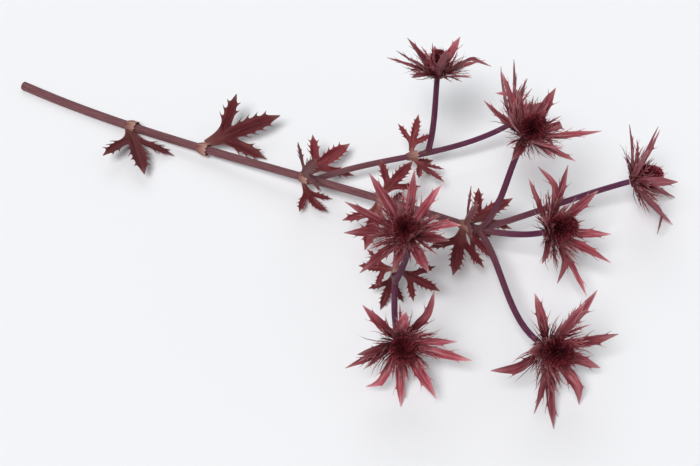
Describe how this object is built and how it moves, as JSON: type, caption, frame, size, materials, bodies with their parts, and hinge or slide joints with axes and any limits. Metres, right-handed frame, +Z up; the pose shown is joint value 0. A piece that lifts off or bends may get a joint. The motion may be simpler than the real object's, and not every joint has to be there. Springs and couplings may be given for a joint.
{
  "type": "sea holly stem",
  "caption": "Cut sea holly stem, dyed burgundy, lying on its side: a branching stalk with spiny leaf whorls, and heads of dark cones in ruffs of spiny bracts.",
  "frame": {"origin": "middle of the part's footprint, on the surface that the stem lies on", "axes": "+X along the main stem from its cut end to its heads, +Y to its left, +Z up from the surface"},
  "size_m": [0.5166, 0.3189, 0.1496],
  "materials": {
    "stem": "satin",
    "leaf": "satin",
    "bract": "satin",
    "cone": "matte"
  },
  "bodies": {
    "root": {"stem": "stem", "leaf_whorl_top": "leaf", "leaf_whorl_middle": "leaf", "leaf_whorl_low": "leaf", "leaf_whorl_right": "leaf", "leaf_whorl_left": "leaf", "stem_leaf_left": "leaf", "stem_leaf_right": "leaf", "bract_ruff_1": "bract", "flower_cone_1": "cone", "bract_ruff_2": "bract", "flower_cone_2": "cone", "bract_ruff_3": "bract", "flower_cone_3": "cone", "bract_ruff_4": "bract", "flower_cone_4": "cone", "bract_ruff_5": "bract", "flower_cone_5": "cone", "bract_ruff_6": "bract", "flower_cone_6": "cone", "bract_ruff_7": "bract", "flower_cone_7": "cone", "bract_ruff_8": "bract", "flower_cone_8": "cone"}
  },
  "joints": []
}
